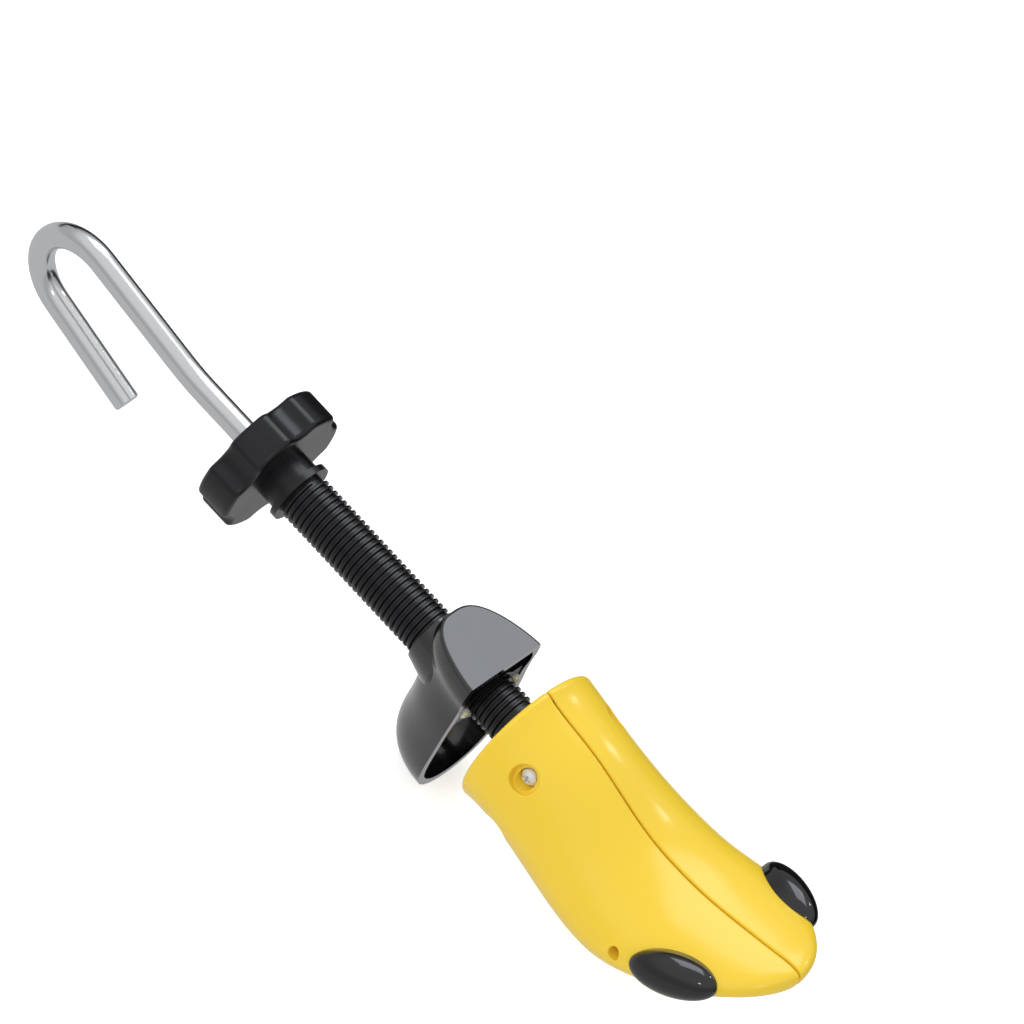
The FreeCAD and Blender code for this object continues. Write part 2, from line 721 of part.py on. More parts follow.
def hand_wheel():
    """The lobed wheel with its hub and flange, bored to fit the tube's flatted neck."""
    body = turned("Wheel", [
        ("wheel_rear_x", "0"), ("thread_start_x", "0"), ("thread_start_x", "flange_radius"),
        ("hub_x", "flange_radius"), ("hub_x", "hub_radius"), ("wheel_front_x", "hub_radius"),
        ("wheel_front_x", "wheel_radius"), ("wheel_rear_x", "wheel_radius")])
    sketch = body.newObject("Sketcher::SketchObject", "Scallop")
    plane = next(feature for feature in body.Origin.OriginFeatures if feature.Role == "YZ_Plane")
    sketch.AttachmentSupport = (plane, [""])
    sketch.MapMode = "FlatFace"
    middle = FreeCAD.Vector(0, sizes.wheel_radius, 0)
    sketch.addGeometry(Part.Circle(middle, FreeCAD.Vector(0, 0, 1), sizes.scallop_radius))
    for kind, formula in (("Radius", "scallop_radius"),
                          ("DistanceY", "wheel_radius + scallop_radius - scallop_depth")):
        ends = (0,) if kind == "Radius" else (-1, 1, 0, 3)
        index = sketch.addConstraint(Sketcher.Constraint(kind, *ends, sizes.wheel_radius))
        bind(sketch, f"Constraints[{index}]", formula)
    sketch.addConstraint(Sketcher.Constraint("PointOnObject", 0, 3, -2))
    doc.recompute()
    uncut = body.Shape.Volume
    pocket = body.newObject("PartDesign::Pocket", "ScallopCut")
    pocket.Profile = sketch
    pocket.Type = "ThroughAll"
    doc.recompute()
    lobes = body.newObject("PartDesign::PolarPattern", "Lobes")
    lobes.Originals = [pocket]
    lobes.Axis = (sketch, ["N_Axis"])
    lobes.Angle = 360
    bind(lobes, "Occurrences", "wheel_lobes")
    body.Tip = lobes
    doc.recompute()
    if body.Shape.Volume >= uncut:
        raise RuntimeError("the wheel's scallops cut nothing")

    def long_edge(edge):
        return edge.BoundBox.XLength > sizes.wheel_thickness * 0.9 and len(edge.Vertexes) == 2 \
            and math.hypot(edge.CenterOfMass.y, edge.CenterOfMass.z) > sizes.wheel_radius * 0.8

    def rim_edge(edge):
        spot = edge.CenterOfMass
        flat = edge.BoundBox.XLength < NEAR
        ends = (places.wheel_rear_x, places.wheel_front_x)
        far = max(math.hypot(vertex.Y, vertex.Z) for vertex in edge.Vertexes)
        return flat and min(abs(spot.x - end) for end in ends) < NEAR and far > sizes.wheel_radius * 0.8

    rounds = (("LobeRound", long_edge, "lobe_round"), ("RimRound", rim_edge, "wheel_round"))
    for title, wanted, radius in rounds:
        fillet = body.newObject("PartDesign::Fillet", title)
        base = fillet.BaseFeature
        fillet.Base = (base, edges_where(base, wanted))
        bind(fillet, "Radius", radius)
        doc.recompute()
    neck = cylinder("WheelBoreRound", "journal_radius", "wheel_thickness * 3",
                    ("wheel_rear_x - overrun", "0", "0"), ALONG_X)
    side = box("WheelBoreFlat", ("wheel_thickness * 3", "journal_radius * 2", "journal_radius + neck_flat"),
               ("wheel_rear_x - overrun", "-journal_radius", "-journal_radius"))
    recess = cylinder("WheelRecess", "wheel_recess_radius", "wheel_recess_depth + overrun",
                      ("wheel_rear_x - overrun", "0", "0"), ALONG_X)
    node(cut("HandWheel", body, join("WheelBore", [common("WheelNeck", [neck, side]), recess])), "hand_wheel")


def hook_rod():
    """The bent rod: a straight shank, a slight kink, the hook and a turned front end for the wedge."""
    def step(length):
        ahead = spot + FreeCAD.Vector(math.cos(heading), 0, math.sin(heading)) * length
        edges.append(Part.LineSegment(spot, ahead).toShape())
        return ahead

    def bend(radius, angle):
        hand = 1 if angle > 0 else -1
        centre = spot + FreeCAD.Vector(-math.sin(heading), 0, math.cos(heading)) * radius * hand
        out = spot - centre
        spin = [FreeCAD.Rotation(FreeCAD.Vector(0, -1, 0), angle * share) for share in (0.5, 1)]
        middle, ahead = (centre + turn.multVec(out) for turn in spin)
        edges.append(Part.Arc(spot, middle, ahead).toShape())
        return ahead, heading + math.radians(angle)

    edges = []
    heading = math.pi
    spot = FreeCAD.Vector(places.rod_thread_x, 0, 0)
    half_kink = sizes.kink_radius * math.tan(math.radians(sizes.kink_angle) / 2)
    spot = step(places.rod_thread_x - places.wheel_rear_x + sizes.shank_length - half_kink)
    spot, heading = bend(sizes.kink_radius, -sizes.kink_angle)
    spot = step(sizes.shank_rise - half_kink)
    spot, heading = bend(sizes.hook_bend_radius, sizes.hook_turn_angle)
    spot = step(sizes.hook_leg_length)
    start = Part.Circle(FreeCAD.Vector(places.rod_thread_x, 0, 0), FreeCAD.Vector(1, 0, 0), sizes.rod_radius)
    bent = doc.addObject("Part::Feature", "BentRod")
    bent.Shape = Part.Wire(edges).makePipeShell([Part.Wire([start.toShape()])], True, False)
    tip = doc.addObject("Part::Chamfer", "HookTip")
    tip.Base = bent
    ends = edges_where(bent, lambda edge: edge.BoundBox.Center.distanceToPoint(spot) < sizes.rod_radius * 0.1)
    tip.Edges = [(int(edge[4:]), sizes.hook_tip_chamfer, sizes.hook_tip_chamfer) for edge in ends]
    front = cylinder("RodThread", "rod_thread_radius", "rod_end_x - rod_thread_x + overrun",
                     ("rod_thread_x - overrun", "0", "0"), ALONG_X)
    pin_hole = cylinder("RodPinHole", "pin_radius", "rod_collar_radius * 2",
                        ("collar_x + rod_collar_length / 2", "0", "-rod_collar_radius"), FreeCAD.Rotation())
    node(cut("HookRod", join("RodWhole", [tip, front]), pin_hole), "hook_rod")


def rod_fittings():
    """The thrust washer, pinned collar and end nut on the rod."""
    washer = ring("RodWasher", "rod_washer_x", "collar_x", "rod_radius", "rod_collar_radius")
    node(washer, "rod_thrust_washer")
    collar = ring("CollarTurned", "collar_x", "rod_thread_x", "rod_radius", "rod_collar_radius")
    middle = ("collar_x + rod_collar_length / 2", "0", "-rod_collar_radius")
    hole = cylinder("CollarHole", "pin_radius", "rod_collar_radius * 2", middle, FreeCAD.Rotation())
    node(cut("RodCollar", collar, hole), "rod_collar")
    stock = cylinder("PinStock", "pin_radius", "rod_collar_radius * 2", middle, FreeCAD.Rotation())
    trim = cylinder("PinTrim", "rod_collar_radius", "rod_collar_length", ("collar_x", "0", "0"), ALONG_X)
    node(common("CollarPin", [stock, trim]), "rod_collar_pin")
    body = doc.addObject("PartDesign::Body", "EndNut")
    turns = [60 * corner for corner in range(6)]
    sketch = outline(body, "EndNutProfile", "YZ_Plane",
                     [(f"end_nut_radius * cos({turn})", f"end_nut_radius * sin({turn})") for turn in turns])
    pad = body.newObject("PartDesign::Pad", "EndNutPad")
    pad.Profile = sketch
    bind(pad, "Length", "end_nut_length")
    place(body, ("end_nut_x", "0", "0"))
    bore = cylinder("EndNutBore", "rod_thread_radius", "end_nut_length + overrun * 2",
                    ("end_nut_x - overrun", "0", "0"), ALONG_X)
    node(cut("RodEndNut", body, bore), "rod_end_nut")


def spreader_wedge():
    """The wedge that runs on the rod's thread, with a square nut dropped into it from above."""
    body = prism("Wedge", "XY_Plane", [
        ("wedge_x", "-wedge_rear_half"), ("wedge_end_x", "-wedge_front_half"),
        ("wedge_end_x", "wedge_front_half"), ("wedge_x", "wedge_rear_half")],
        "wedge_half_height * 2", ("0", "0", "-wedge_half_height"))
    bore = cylinder("WedgeBore", "rod_thread_radius + rod_guide_gap", "wedge_length + overrun * 2",
                    ("wedge_x - overrun", "0", "0"), ALONG_X)
    slot = box("WedgeSlot",
               ("wedge_nut_length", "wedge_nut_half * 2", "wedge_nut_half + wedge_half_height + overrun"),
               ("wedge_nut_x", "-wedge_nut_half", "-wedge_nut_half"))
    node(cut("SpreaderWedge", body, join("WedgeCuts", [bore, slot])), "spreader_wedge")
    square = box("NutSquare", ("wedge_nut_length", "wedge_nut_half * 2", "wedge_nut_half * 2"),
                 ("wedge_nut_x", "-wedge_nut_half", "-wedge_nut_half"))
    thread = cylinder("NutThread", "rod_thread_radius + running_gap", "wedge_nut_length + overrun * 2",
                      ("wedge_nut_x - overrun", "0", "0"), ALONG_X)
    node(cut("WedgeNut", square, thread), "wedge_nut")


def heel_plan(name, length, half_width, level, change, reach):
    """A level outline of the heel cup: a rounded nose behind and a straight front, set forward by a reach."""
    lean = sizes.heel_front_lean * (sizes.heel_top - level) / (sizes.heel_top - places.heel_bottom_z)
    front = places.heel_front_x - lean
    along, across = (face + (bowl - face) * change for face, bowl in zip(HEEL_FACE_POWERS, HEEL_BOWL_POWERS))
    trail = []
    for step in range(PLAN_SAMPLES + 1):
        turn = math.pi * (step / PLAN_SAMPLES - 0.5)
        out = math.copysign(abs(math.sin(turn)) ** (2 / across), turn)
        trail.append(FreeCAD.Vector(front - length * math.cos(turn) ** (2 / along), half_width * out, level))
    spots = Part.makePolygon(trail).discretize(PLAN_POINTS)
    curve = Part.BSplineCurve()
    curve.interpolate(Points=spots, Parameters=[float(index) for index in range(PLAN_POINTS)])
    ahead = FreeCAD.Vector(reach, 0, 0)
    corners = [spots[-1], spots[-1] + ahead, spots[0] + ahead, spots[0]] if reach else [spots[-1], spots[0]]
    edges = [curve.toShape()]
    edges += [Part.LineSegment(start, end).toShape() for start, end in zip(corners, corners[1:])]
    obj = doc.addObject("Part::Feature", name)
    obj.Shape = Part.Wire(edges)
    return obj


def heel_sections(name, inset, top, reach):
    """Level outlines of the heel cup from its top face down round its bowl."""
    long, wide = sizes.heel_length - inset, sizes.heel_half_width - inset
    longer = sizes.heel_face_length - sizes.heel_length
    wider = sizes.heel_face_half_width - sizes.heel_half_width
    height = sizes.heel_top - top + sizes.heel_drop
    rows = [(long + longer * (1 - change), wide + wider * (1 - change),
             height * (1 - drop) - sizes.heel_drop, change) for drop, change in HEEL_SIDE_SHARES]
    for angle in HEEL_BOWL_ANGLES:
        narrow = math.cos(math.radians(angle))
        deep = 1 if angle == HEEL_BOWL_ANGLES[-1] else math.sin(math.radians(angle))
        level = -sizes.heel_drop - (sizes.heel_bowl_depth - inset) * deep
        rows.append((long * narrow, wide * narrow, level, 1))
    return [heel_plan(f"{name}{number}", *row, reach) for number, row in enumerate(rows)]


def heel_cup():
    """The hollow heel, open in front, with a collar for the tube and a web that carries the nut."""
    def at_top(edge):
        level = abs(edge.BoundBox.ZMin - sizes.heel_top) < NEAR and edge.BoundBox.ZLength < NEAR
        return level and edge.BoundBox.XLength > sizes.heel_top_round

    uncut = loft("HeelLoft", heel_sections("HeelSection", 0, 0, 0))
    form = rounded("HeelForm", uncut, at_top, "heel_top_round")
    inner = heel_sections("HeelInner", sizes.heel_wall, sizes.heel_top_wall, sizes.overrun)
    hollow = loft("HeelHollow", inner)
    shell = cut("HeelShell", form, hollow)
    web = box("HeelWebBox", ("heel_web_thickness", "heel_half_width * 2", "heel_web_half_height * 2"),
              ("nut_x - heel_web_thickness", "-heel_half_width", "-heel_web_half_height"))
    mouth = "nut_bore_radius + heel_collar_wall"
    collar = turned("HeelCollar", [
        ("heel_front_x - heel_collar_reach", "0"), ("nut_x - heel_web_thickness / 2", "0"),
        ("nut_x - heel_web_thickness / 2", f"{mouth} + heel_collar_flare"),
        ("heel_front_x - heel_collar_root", f"{mouth} + heel_collar_flare"),
        ("heel_front_x - heel_collar_reach", mouth)])
    solid = join("HeelSolid", [shell, common("HeelWeb", [web, form]), collar])
    holes = [cylinder("HeelBore", "nut_bore_radius", "heel_collar_reach + overrun",
                      ("heel_front_x - heel_collar_reach - overrun", "0", "0"), ALONG_X),
             cylinder("HeelNutBore", "nut_sleeve_radius + running_gap", "nut_sleeve_length + overrun",
                      ("nut_rear_x", "0", "0"), ALONG_X)]
    for side in (-1, 1):
        spot = ("nut_screw_x - nut_screw_length - running_gap", f"{side} * nut_screw_spread", "0")
        holes.append(cylinder(f"HeelScrewHole{len(holes)}", "nut_screw_radius + running_gap",
                              "nut_screw_length", spot, ALONG_X))
    node(cut("HeelCup", solid, join("HeelHoles", holes)), "heel_cup")


def heel_nut():
    """The threaded sleeve and flange that drive the heel cup, with their two screws."""
    body = doc.addObject("PartDesign::Body", "Nut")
    corners = [(f"{wide} * nut_flange_half_length", f"{high} * nut_flange_half_height")
               for wide, high in ((-1, -1), (1, -1), (1, 1), (-1, 1))]
    sketch = outline(body, "NutFlangeProfile", "YZ_Plane", corners)
    bind(sketch, "AttachmentOffset.Base.z", "nut_x")
    flange = body.newObject("PartDesign::Pad", "NutFlange")
    flange.Profile = sketch
    bind(flange, "Length", "nut_flange_thickness")
    spin(body, "NutSleeve", [
        ("nut_rear_x", "nut_bore_radius"), ("nut_screw_x", "nut_bore_radius"),
        ("nut_screw_x", "nut_sleeve_radius"), ("nut_rear_x", "nut_sleeve_radius")])
    spin(body, "NutBore", [
        ("nut_rear_x - overrun", "0"), ("nut_screw_x + overrun", "0"),
        ("nut_screw_x + overrun", "nut_bore_radius"), ("nut_rear_x - overrun", "nut_bore_radius")],
        "PartDesign::Groove")
    first = "thread_start_x + thread_pitch"
    middle = f"{first} + thread_pitch * (floor((nut_rear_x - ({first})) / thread_pitch) + 1)"
    tip = f"thread_pitch * {1 - ROOT_SHARE} / 2 - nut_thread_gap / 2"
    heel = f"thread_pitch * {1 - CREST_SHARE} / 2 - nut_thread_gap"
    sunk = f"nut_bore_radius + nut_wall * {SUNK_SHARE}"
    crest = "tube_radius - thread_depth + nut_thread_gap"
    helical_ridge(body, "NutThreadRib", [
        (f"{middle} - ({heel})", sunk), (f"{middle} + ({heel})", sunk),
        (f"{middle} + ({tip})", crest), (f"{middle} - ({tip})", crest)],
        "thread_pitch * nut_thread_turns")
    holes = []
    screws = []
    for side in (-1, 1):
        spot = ("nut_screw_x", f"{side} * nut_screw_spread", "0")
        holes.append(cylinder(f"NutScrewHole{len(holes)}", "nut_screw_radius + running_gap",
                              "nut_flange_thickness + overrun * 2", ("nut_x - overrun",) + spot[1:], ALONG_X))
        shank = ("nut_screw_radius", "nut_screw_length")
        screws.append(screw(f"NutScrew{len(holes)}", "nut_screw", shank, spot, FreeCAD.Rotation()))
    node(cut("HeelNut", body, join("NutHoles", holes)), "heel_nut")
    node(group("HeelNutScrews", screws), "heel_nut_screws")


for side, hand in ((-1, "Right"), (1, "Left")):
    return_springs(side, hand)
toe_halves()
bunion_plugs()
guide_screws()
core_block()
tube_washer = ring("TubeWasher", "washer_x", "core_x", "journal_radius + end_play", "washer_radius")
node(tube_washer, "tube_thrust_washer")
retaining_ring("TubeRing", "tube_retaining_ring", "ring_x")
retaining_ring("WheelRing", "wheel_retaining_ring", "wheel_ring_x")
threaded_tube()
hand_wheel()
hook_rod()
rod_fittings()
spreader_wedge()
heel_cup()
heel_nut()
doc.recompute()

for obj in doc.Objects:
    if "Invalid" in obj.State or "Error" in obj.State:
        raise RuntimeError(f"{obj.Label} failed: {obj.State}")
for piece in nodes:
    if piece.Shape.isNull() or not piece.Shape.isValid() or not piece.Shape.Solids:
        raise RuntimeError(f"{piece.Label} has no valid solid")

os.makedirs("parts", exist_ok=True)
for piece in nodes:
    piece.Shape.exportStep(f"parts/{piece.Label}.step")
print(f"{len(nodes)} pieces written")
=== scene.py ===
"""Looks of the two-way shoe stretcher: a finish for every piece, copied spring coils, studio and camera."""
import json
import math
import bmesh
import bpy
from mathutils import Matrix, Vector


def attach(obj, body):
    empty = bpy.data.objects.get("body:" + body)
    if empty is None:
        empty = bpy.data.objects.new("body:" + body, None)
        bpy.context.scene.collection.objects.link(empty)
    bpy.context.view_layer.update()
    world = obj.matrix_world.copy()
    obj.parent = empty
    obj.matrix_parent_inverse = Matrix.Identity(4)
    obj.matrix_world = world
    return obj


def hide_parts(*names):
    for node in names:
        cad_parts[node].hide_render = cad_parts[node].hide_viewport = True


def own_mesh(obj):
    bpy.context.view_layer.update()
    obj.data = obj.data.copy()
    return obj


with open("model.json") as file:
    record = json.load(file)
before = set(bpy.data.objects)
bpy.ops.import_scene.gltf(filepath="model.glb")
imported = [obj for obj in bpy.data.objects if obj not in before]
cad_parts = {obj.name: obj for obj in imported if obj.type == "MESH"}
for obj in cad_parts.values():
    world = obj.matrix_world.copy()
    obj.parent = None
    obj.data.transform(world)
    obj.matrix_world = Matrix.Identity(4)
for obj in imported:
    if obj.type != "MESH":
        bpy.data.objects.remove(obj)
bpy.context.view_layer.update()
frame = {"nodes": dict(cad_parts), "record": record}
MM = 0.001

# The camera's axes in the object's frame, and the point at the middle of the picture
CAMERA_RIGHT = Vector((0.66514, 0.69027, 0.28481))
CAMERA_UP = Vector((-0.71357, 0.47528, 0.51428))
PICTURE_MIDDLE = Vector((-7.5, 53.9, 68.3)) * MM
PICTURE_WIDTH = 372.4 * MM
CAMERA_DISTANCE = 4.0
CAMERA_REACH = 100.0
# Where the lamps point and how far off they stand
LAMP_AIM = Vector((0.05, 0.0, 0.06))
LAMP_DISTANCE = 1.6
# The floor: its size, what it adds to its own light for the camera, and the painted reflection that
# shiny pieces see in it: a set glow on the near side and painted dark past the edge
FLOOR_SIZE = 8.0
FLOOR_GLOW = 0.55
FLOOR_NEAR = 0.56
FLOOR_FAR = 0.02
FLOOR_EDGE = 0.13
# The surround: its strength as light and to the camera, and the mirrored ceiling's strength below and on top
SURROUND_LIGHT = 0.68
SURROUND_SEEN = 1.0
CEILING_LOW = 0.46
CEILING_HIGH = 0.76
# Where the ceiling starts and stops growing paler, and the top and side of the dark band on the far side,
# as parts of a ray of unit length, and the share of the light that the band keeps
CEILING_START = 0.3
CEILING_STOP = 0.75
BAND_TOP = 0.16
BAND_SIDE = 0.5
BAND_SHARE = 0.03
# How far the gloss varies around a finish's own roughness, and how rough a clear skin is beside it
SMOOTHEST_SHARE = 0.8
PLASTIC_ROUGHEST_SHARE = 1.25
METAL_ROUGHEST_SHARE = 1.3
COAT_ROUGHNESS_SHARE = 0.4
PLASTIC_IOR = 1.53
PEEL_STRENGTH = 0.08
PEEL_DEPTH = 0.05 * MM
# In the copied springs, corners closer than this are one corner, and edges sharper than this stay sharp
MERGE_DISTANCE = 0.001 * MM
SHARP_ANGLE = math.radians(40)


def linear(code):
    """A hex colour as linear red, green, blue and alpha."""
    parts = [int(code[start:start + 2], 16) / 255 for start in (1, 3, 5)]
    return tuple(p / 12.92 if p <= 0.04045 else ((p + 0.055) / 1.055) ** 2.4 for p in parts) + (1.0,)


WHITE = linear("#FFFFFF")


def add(tree, kind, settings=(), links=()):
    """Add a node, set its properties and its sockets by name or number, and link its inputs."""
    node = tree.nodes.new(kind)
    for name, value in dict(settings).items():
        if isinstance(name, int) or name in node.inputs:
            node.inputs[name].default_value = value
        else:
            setattr(node, name, value)
    for name, socket in dict(links).items():
        tree.links.new(socket, node.inputs[name])
    return node


def new_material(name):
    """An empty material with its node tree, the socket for its surface, and object coordinates."""
    material = bpy.data.materials.new(name)
    material.use_nodes = True
    tree = material.node_tree
    tree.nodes.clear()
    surface = add(tree, "ShaderNodeOutputMaterial").inputs["Surface"]
    place = add(tree, "ShaderNodeTexCoord").outputs["Object"]
    return material, tree, surface, place


def varied_shader(tree, surface, pattern, light, dark, roughness, roughest_share):
    """A shader whose tint and gloss follow a pattern."""
    tint = add(tree, "ShaderNodeMix", {"data_type": "RGBA", 6: linear(light), 7: linear(dark)},
               {"Factor": pattern})
    gloss = add(tree, "ShaderNodeMapRange",
                {"To Min": roughness * SMOOTHEST_SHARE, "To Max": roughness * roughest_share},
                {"Value": pattern})
    shader = add(tree, "ShaderNodeBsdfPrincipled",
                 links={"Base Color": tint.outputs[2], "Roughness": gloss.outputs["Result"]})
    tree.links.new(shader.outputs["BSDF"], surface)
    return shader


def moulded_plastic(name, light, dark, roughness, shine, coat, peel_mm, cloud_mm):
    """Injection-moulded plastic: a faint flow cloud in tint and gloss, and a fine orange peel."""
    material, tree, surface, place = new_material(name)
    cloud = add(tree, "ShaderNodeTexNoise", {"Scale": 1 / (cloud_mm * MM), "Detail": 3.0}, {"Vector": place})
    shader = varied_shader(tree, surface, cloud.outputs["Fac"], light, dark,
                           roughness, PLASTIC_ROUGHEST_SHARE)
    peel = add(tree, "ShaderNodeTexNoise", {"Scale": 1 / (peel_mm * MM), "Detail": 2.0}, {"Vector": place})
    bump = add(tree, "ShaderNodeBump", {"Strength": PEEL_STRENGTH, "Distance": PEEL_DEPTH},
               {"Height": peel.outputs["Fac"]})
    tree.links.new(bump.outputs["Normal"], shader.inputs["Normal"])
    shader.inputs["IOR"].default_value = PLASTIC_IOR
    shader.inputs["Specular IOR Level"].default_value = shine
    shader.inputs["Coat Weight"].default_value = coat
    shader.inputs["Coat Roughness"].default_value = roughness * COAT_ROUGHNESS_SHARE
    return material


def plated_metal(name, light, dark, roughness, metal_share, streak_mm, stretch):
    """Plated or drawn steel: metal with streaks along its length, coarser than real ones, so as to show."""
    material, tree, surface, place = new_material(name)
    along = add(tree, "ShaderNodeMapping", {"Scale": (1 / stretch, 1.0, 1.0)}, {"Vector": place})
    streak = add(tree, "ShaderNodeTexNoise", {"Scale": 1 / (streak_mm * MM), "Detail": 3.0},
                 {"Vector": along.outputs["Vector"]})
    shader = varied_shader(tree, surface, streak.outputs["Fac"], light, dark,
                           roughness, METAL_ROUGHEST_SHARE)
    shader.inputs["Metallic"].default_value = metal_share
    return material


# Gloss ABS from a polished mould: an even warm yellow with soft, broad highlights
YELLOW = moulded_plastic("yellow_gloss_abs", "#FAD63E", "#F9D236", roughness=0.2, shine=0.45, coat=0.0,
                         peel_mm=0.9, cloud_mm=40.0)
# Gloss ABS with a clear, smoother skin: near black, with the surround mirrored palely in its flat faces
GLOSS_BLACK = moulded_plastic("black_gloss_abs", "#0A0B0D", "#0E0F12", roughness=0.2, shine=0.5, coat=1.0,
                              peel_mm=1.1, cloud_mm=30.0)
# Nylon from a polished mould: near black, with small sharp glints on the domes
PLUG_BLACK = moulded_plastic("black_gloss_nylon", "#0A0B0D", "#0E0F12", roughness=0.1, shine=0.5, coat=0.4,
                             peel_mm=1.0, cloud_mm=18.0)
# Nylon from a plainer mould: a black with soft, dull highlights
SATIN_BLACK = moulded_plastic("black_satin_nylon", "#0C0C10", "#111217", roughness=0.27, shine=0.4, coat=0.0,
                              peel_mm=0.8, cloud_mm=24.0)
# Nylon from a rough mould: a matt grey
GREY = moulded_plastic("grey_matt_nylon", "#57585C", "#4E4F53", roughness=0.5, shine=0.4, coat=0.0,
                       peel_mm=0.7, cloud_mm=20.0)
# Bright chrome plate on bent bar: a pale, slightly soft mirror
CHROME = plated_metal("chrome_plated_steel", "#E4E6E8", "#DCDEE0", roughness=0.17, metal_share=1.0,
                      streak_mm=0.8, stretch=30.0)
# Bright zinc plate: a milky pale metal that stays light down in a hole
ZINC = plated_metal("bright_zinc_steel", "#F4F5F8", "#E2E4E8", roughness=0.28, metal_share=0.4,
                    streak_mm=0.5, stretch=4.0)
# Drawn spring wire: a darker grey metal
WIRE = plated_metal("drawn_spring_wire", "#8B8D92", "#74767B", roughness=0.3, metal_share=1.0,
                    streak_mm=0.4, stretch=6.0)
# The finish of every piece, by the material slot of the record, and the pieces that have another black
FINISHES = {"yellow_plastic": YELLOW, "black_plastic": GLOSS_BLACK, "grey_plastic": GREY,
            "chrome_steel": CHROME, "zinc_steel": ZINC, "spring_steel": WIRE}
OTHER_BLACKS = {"threaded_tube": SATIN_BLACK, "hand_wheel": SATIN_BLACK, "heel_nut": SATIN_BLACK,
                "bunion_plug_right": PLUG_BLACK, "bunion_plug_left": PLUG_BLACK}
for entry in frame["record"]["subparts"]:
    finish = OTHER_BLACKS.get(entry["node"], FINISHES[entry["material_slot"]])
    for slot in frame["nodes"][entry["node"]].material_slots:
        slot.material = finish


def shortening_springs(node, name):
    """A copy of two return springs in spring wire, smoothly shaded, put in place of the CAD node on the core
    body.
    """
    shape = bmesh.new()
    shape.from_mesh(frame["nodes"][node].data)
    bmesh.ops.remove_doubles(shape, verts=shape.verts, dist=MERGE_DISTANCE)
    for face in shape.faces:
        face.smooth = True
    mesh = bpy.data.meshes.new(name)
    shape.to_mesh(mesh)
    shape.free()
    mesh.set_sharp_from_angle(angle=SHARP_ANGLE)
    mesh.materials.clear()
    mesh.materials.append(WIRE)
    springs = bpy.data.objects.new(name, mesh)
    bpy.context.scene.collection.objects.link(springs)
    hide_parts(node)
    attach(springs, "core")
    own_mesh(springs)


def stage_floor():
    """A wide floor, white with a soft shadow, clear from below; shiny pieces see in it a painted reflection,
    pale near and dark far.
    """
    shape = bmesh.new()
    bmesh.ops.create_grid(shape, x_segments=1, y_segments=1, size=FLOOR_SIZE)
    mesh = bpy.data.meshes.new("studio_floor")
    shape.to_mesh(mesh)
    shape.free()
    floor = bpy.data.objects.new("studio_floor", mesh)
    bpy.context.scene.collection.objects.link(floor)
    material, tree, surface, place = new_material("pale_studio_floor")
    path = add(tree, "ShaderNodeLightPath")
    paint = add(tree, "ShaderNodeBsdfDiffuse", {"Color": linear("#F2F2F2")})
    glow = add(tree, "ShaderNodeEmission", {"Color": WHITE, "Strength": FLOOR_GLOW})
    lit = add(tree, "ShaderNodeAddShader", links={0: paint.outputs["BSDF"], 1: glow.outputs["Emission"]})
    seen = add(tree, "ShaderNodeMixShader", links={
        0: path.outputs["Is Camera Ray"], 1: paint.outputs["BSDF"], 2: lit.outputs["Shader"]})
    # Painted reflection: to shiny pieces the floor shows a set glow on the near side and near black past the
    # edge, not the light that falls on it
    split = add(tree, "ShaderNodeSeparateXYZ", links={"Vector": place})
    far = add(tree, "ShaderNodeMath", {"operation": "GREATER_THAN", 1: FLOOR_EDGE}, {0: split.outputs["Y"]})
    near_painted_reflection = add(tree, "ShaderNodeEmission", {"Color": WHITE, "Strength": FLOOR_NEAR})
    far_painted_dark = add(tree, "ShaderNodeEmission", {"Color": WHITE, "Strength": FLOOR_FAR})
    mirrored = add(tree, "ShaderNodeMixShader", links={
        0: far.outputs["Value"], 1: near_painted_reflection.outputs["Emission"], 2: far_painted_dark.outputs["Emission"]})
    whole = add(tree, "ShaderNodeMixShader", links={
        0: path.outputs["Is Glossy Ray"], 1: seen.outputs["Shader"], 2: mirrored.outputs["Shader"]})
    below = add(tree, "ShaderNodeNewGeometry").outputs["Backfacing"]
    clear = add(tree, "ShaderNodeBsdfTransparent")
    shown = add(tree, "ShaderNodeMixShader", links={
        0: below, 1: whole.outputs["Shader"], 2: clear.outputs["BSDF"]})
    tree.links.new(shown.outputs["Shader"], surface)
    mesh.materials.append(material)


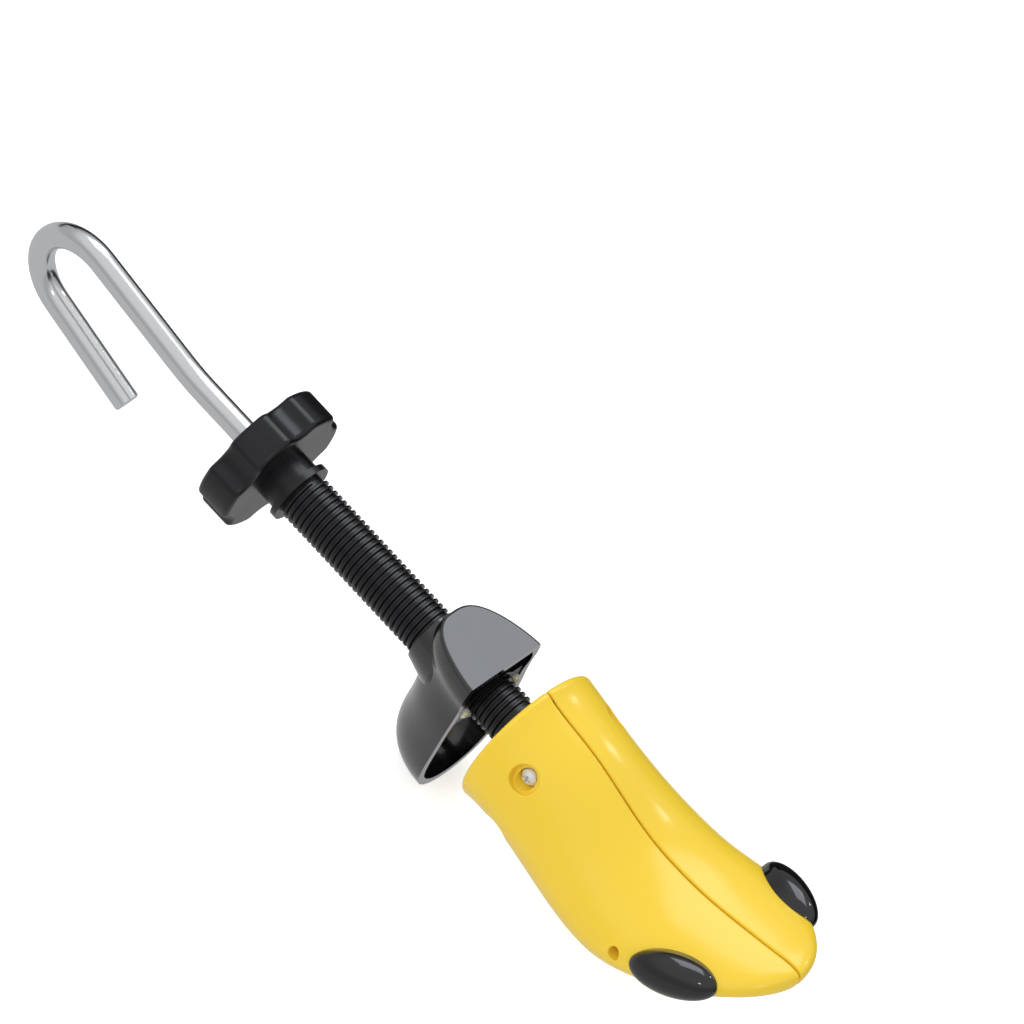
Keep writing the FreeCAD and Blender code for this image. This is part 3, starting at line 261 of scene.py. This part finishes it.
def studio_world():
    """An even surround, white to the camera. Shiny pieces mirror a pale ceiling and a dark far band."""
    world = bpy.data.worlds.new("studio")
    bpy.context.scene.world = world
    world.use_nodes = True
    tree = world.node_tree
    tree.nodes.clear()
    path = add(tree, "ShaderNodeLightPath")
    seen = add(tree, "ShaderNodeMath", {"operation": "MAXIMUM"},
               {0: path.outputs["Is Camera Ray"], 1: path.outputs["Is Transmission Ray"]})
    plain = add(tree, "ShaderNodeMapRange", {"To Min": SURROUND_LIGHT, "To Max": SURROUND_SEEN},
                {"Value": seen.outputs["Value"]})
    way = add(tree, "ShaderNodeTexCoord").outputs["Generated"]
    split = add(tree, "ShaderNodeSeparateXYZ", links={"Vector": way})
    ceiling = add(tree, "ShaderNodeMapRange", {
        "interpolation_type": "SMOOTHSTEP", "From Min": CEILING_START, "From Max": CEILING_STOP,
        "To Min": CEILING_LOW, "To Max": CEILING_HIGH}, {"Value": split.outputs["Z"]})
    low = add(tree, "ShaderNodeMath", {"operation": "LESS_THAN", 1: BAND_TOP}, {0: split.outputs["Z"]})
    far = add(tree, "ShaderNodeMath", {"operation": "GREATER_THAN", 1: BAND_SIDE}, {0: split.outputs["Y"]})
    band = add(tree, "ShaderNodeMath", {"operation": "MULTIPLY"},
               {0: low.outputs["Value"], 1: far.outputs["Value"]})
    dimmed = add(tree, "ShaderNodeMapRange", {"To Min": 1.0, "To Max": BAND_SHARE},
                 {"Value": band.outputs["Value"]})
    mirrored = add(tree, "ShaderNodeMath", {"operation": "MULTIPLY"},
                   {0: ceiling.outputs["Result"], 1: dimmed.outputs["Result"]})
    strength = add(tree, "ShaderNodeMix", links={
        0: path.outputs["Is Glossy Ray"], 2: plain.outputs["Result"], 3: mirrored.outputs["Value"]})
    background = add(tree, "ShaderNodeBackground", {"Color": WHITE}, {"Strength": strength.outputs[0]})
    add(tree, "ShaderNodeOutputWorld", links={"Surface": background.outputs["Background"]})


def lamp(name, way, size, radiance, tint="#FFFFFF", mirrored=True):
    """A square soft box of a given brightness, a set way out from the object and facing it."""
    data = bpy.data.lights.new(name, "AREA")
    data.size = size
    data.energy = radiance * math.pi * size * size
    data.color = linear(tint)[:3]
    light = bpy.data.objects.new(name, data)
    light.visible_glossy = mirrored
    bpy.context.scene.collection.objects.link(light)
    out = Vector(way).normalized()
    light.location = LAMP_AIM + out * LAMP_DISTANCE
    light.rotation_mode = "QUATERNION"
    light.rotation_quaternion = (-out).to_track_quat("-Z", "Y")


def camera():
    """A flat view at the photo's angle, with the picture's middle at its own middle."""
    data = bpy.data.cameras.new("camera")
    data.type = "ORTHO"
    data.ortho_scale = PICTURE_WIDTH
    data.clip_end = CAMERA_REACH
    eye = bpy.data.objects.new("camera", data)
    bpy.context.scene.collection.objects.link(eye)
    back = CAMERA_RIGHT.cross(CAMERA_UP).normalized()
    up = back.cross(CAMERA_RIGHT).normalized()
    turn = Matrix((up.cross(back), up, back)).transposed()
    eye.matrix_world = Matrix.Translation(PICTURE_MIDDLE + back * CAMERA_DISTANCE) @ turn.to_4x4()
    bpy.context.scene.camera = eye


shortening_springs("return_springs_right", "return_coils_right")
shortening_springs("return_springs_left", "return_coils_left")
stage_floor()
studio_world()
# Large soft boxes above the far side and the near side, of which shiny pieces mirror the first alone
lamp("back_box", way=(-0.38, 0.5, 0.78), size=1.05, radiance=2.5, tint="#EFF5FF")
lamp("side_box", way=(-0.3, -0.66, 0.69), size=1.2, radiance=1.25, mirrored=False)
# Small bright lamps on the far side and above the near side of the toe, which leave small glints
lamp("rim_glint", way=(0.1, 0.855, 0.5), size=0.1, radiance=22.0)
lamp("top_glint", way=(0.45, -0.48, 0.75), size=0.12, radiance=14.0)
camera()
bpy.context.scene.view_settings.view_transform = "Standard"
